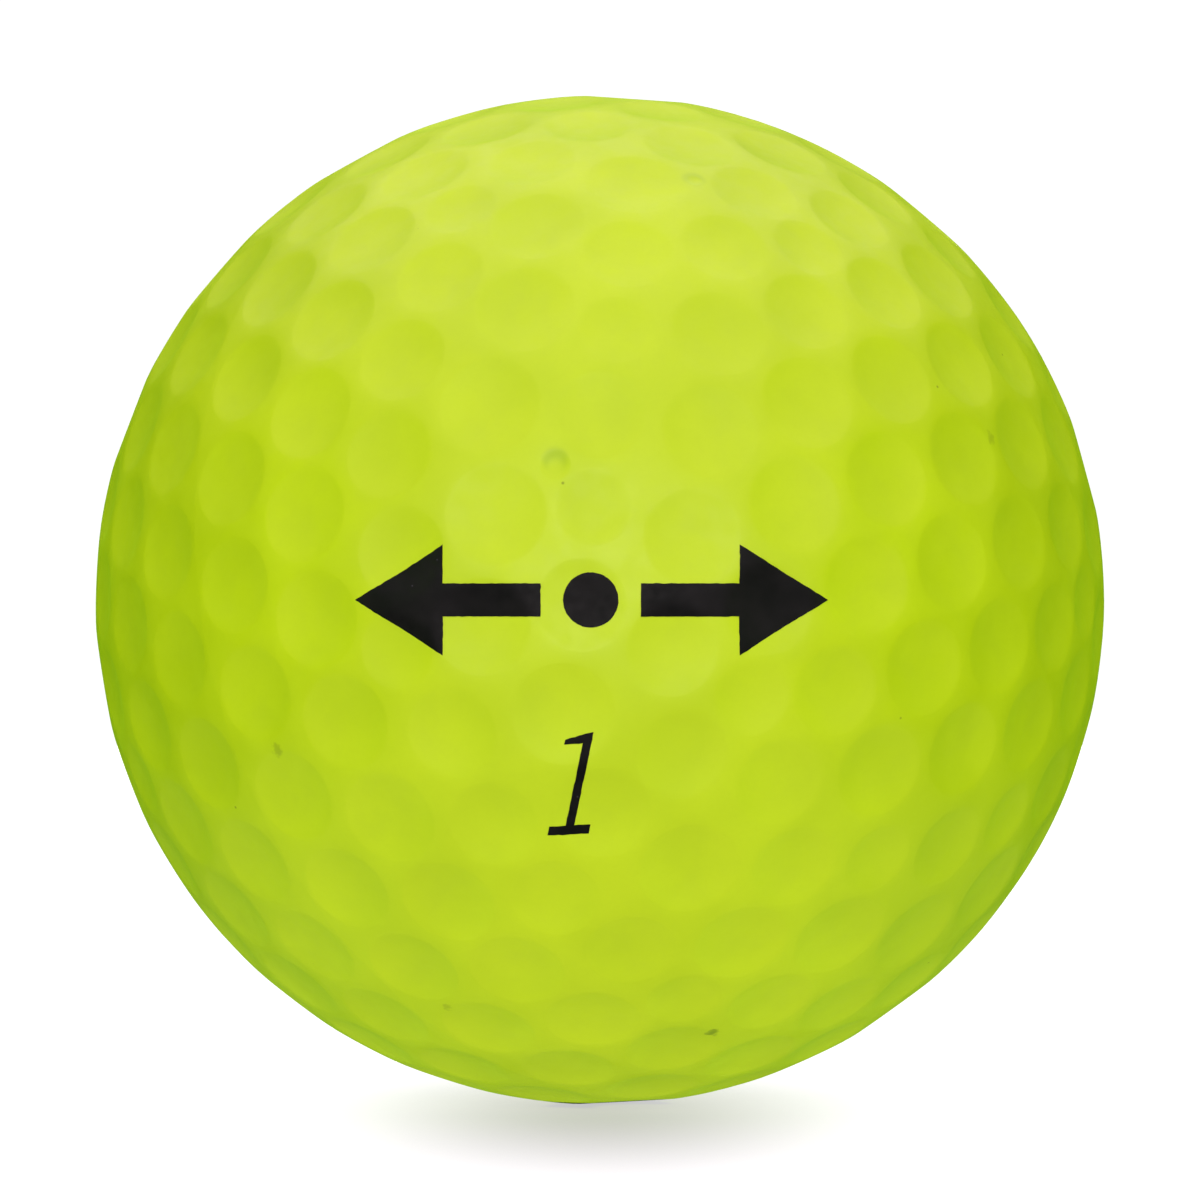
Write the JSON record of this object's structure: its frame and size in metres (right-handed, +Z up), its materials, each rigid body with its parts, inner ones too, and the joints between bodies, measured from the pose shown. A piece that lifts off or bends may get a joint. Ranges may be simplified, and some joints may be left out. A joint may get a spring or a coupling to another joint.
{
  "type": "golf ball",
  "caption": "Dimpled matte lime-green golf ball with a rubber core, a mantle, a two-shell cover, and a printed alignment mark and play number.",
  "frame": {"origin": "centre of the ball", "axes": "+Z up, the front print faces -Y and reads left to right along +X"},
  "size_m": [0.0426, 0.0427, 0.0426],
  "materials": {
    "core_rubber": "solid high-resilience rubber, moulded, dull",
    "mantle_rubber": "firmer moulded layer, dull",
    "cover": "tinted ionomer with a soft-touch matte coat",
    "ink": "pad-printed ink"
  },
  "bodies": {
    "root": {"core": "core_rubber", "mantle_a": "mantle_rubber", "mantle_b": "mantle_rubber", "cover_a": "cover", "cover_b": "cover", "mark_front": "ink", "number_front": "ink", "mark_back": "ink", "number_back": "ink"}
  },
  "joints": []
}
